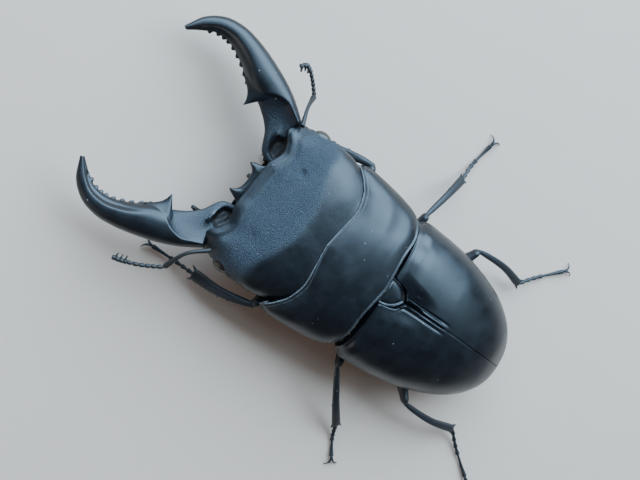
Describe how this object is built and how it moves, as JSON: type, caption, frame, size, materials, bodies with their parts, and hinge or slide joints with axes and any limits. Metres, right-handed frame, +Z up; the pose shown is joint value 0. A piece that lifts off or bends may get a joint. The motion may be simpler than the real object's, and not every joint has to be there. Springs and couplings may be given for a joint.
{
  "type": "stag beetle",
  "caption": "Male giant flat stag beetle at life size, standing on its legs with its toothed mandibles spread and its head turned a little to its right.",
  "frame": {"origin": "on the floor, under the middle of the beetle's box", "axes": "+Y towards the beetle's tail, along its length; +X towards its left; +Z up from the floor"},
  "size_m": [0.0664, 0.096, 0.0173],
  "materials": {
    "shell_satin": "satin, finely grained",
    "shell_gloss": "smooth, soft gloss",
    "mandible": "satin gloss",
    "leg": "satin gloss",
    "underside": "satin gloss, brownish black",
    "eye": "high gloss, finely faceted",
    "feeler": "satin, brownish black"
  },
  "bodies": {
    "root": {"head": "shell_satin", "eye_left": "eye", "eye_right": "eye", "mandible_left": "mandible", "mandible_right": "mandible", "labrum": "mandible", "mentum": "underside", "maxillary_palp_left": "feeler", "maxillary_palp_right": "feeler", "labial_palp_left": "feeler", "labial_palp_right": "feeler", "antenna_left_club": "feeler", "antenna_left_flagellum": "feeler", "antenna_left_scape": "feeler", "antenna_right_club": "feeler", "antenna_right_flagellum": "feeler", "antenna_right_scape": "feeler", "pronotum": "shell_satin", "prosternum": "underside", "scutellum": "shell_satin", "elytron_left": "shell_gloss", "elytron_right": "shell_gloss", "metasternum": "underside", "abdomen": "underside", "leg_fore_left_claws": "leg", "leg_fore_left_coxa": "leg", "leg_fore_left_femur": "leg", "leg_fore_left_tarsus": "leg", "leg_fore_left_tibia": "leg", "leg_fore_right_claws": "leg", "leg_fore_right_coxa": "leg", "leg_fore_right_femur": "leg", "leg_fore_right_tarsus": "leg", "leg_fore_right_tibia": "leg", "leg_mid_left_claws": "leg", "leg_mid_left_coxa": "leg", "leg_mid_left_femur": "leg", "leg_mid_left_tarsus": "leg", "leg_mid_left_tibia": "leg", "leg_mid_right_claws": "leg", "leg_mid_right_coxa": "leg", "leg_mid_right_femur": "leg", "leg_mid_right_tarsus": "leg", "leg_mid_right_tibia": "leg", "leg_hind_left_claws": "leg", "leg_hind_left_coxa": "leg", "leg_hind_left_femur": "leg", "leg_hind_left_tarsus": "leg", "leg_hind_left_tibia": "leg", "leg_hind_right_claws": "leg", "leg_hind_right_coxa": "leg", "leg_hind_right_femur": "leg", "leg_hind_right_tarsus": "leg", "leg_hind_right_tibia": "leg"}
  },
  "joints": []
}
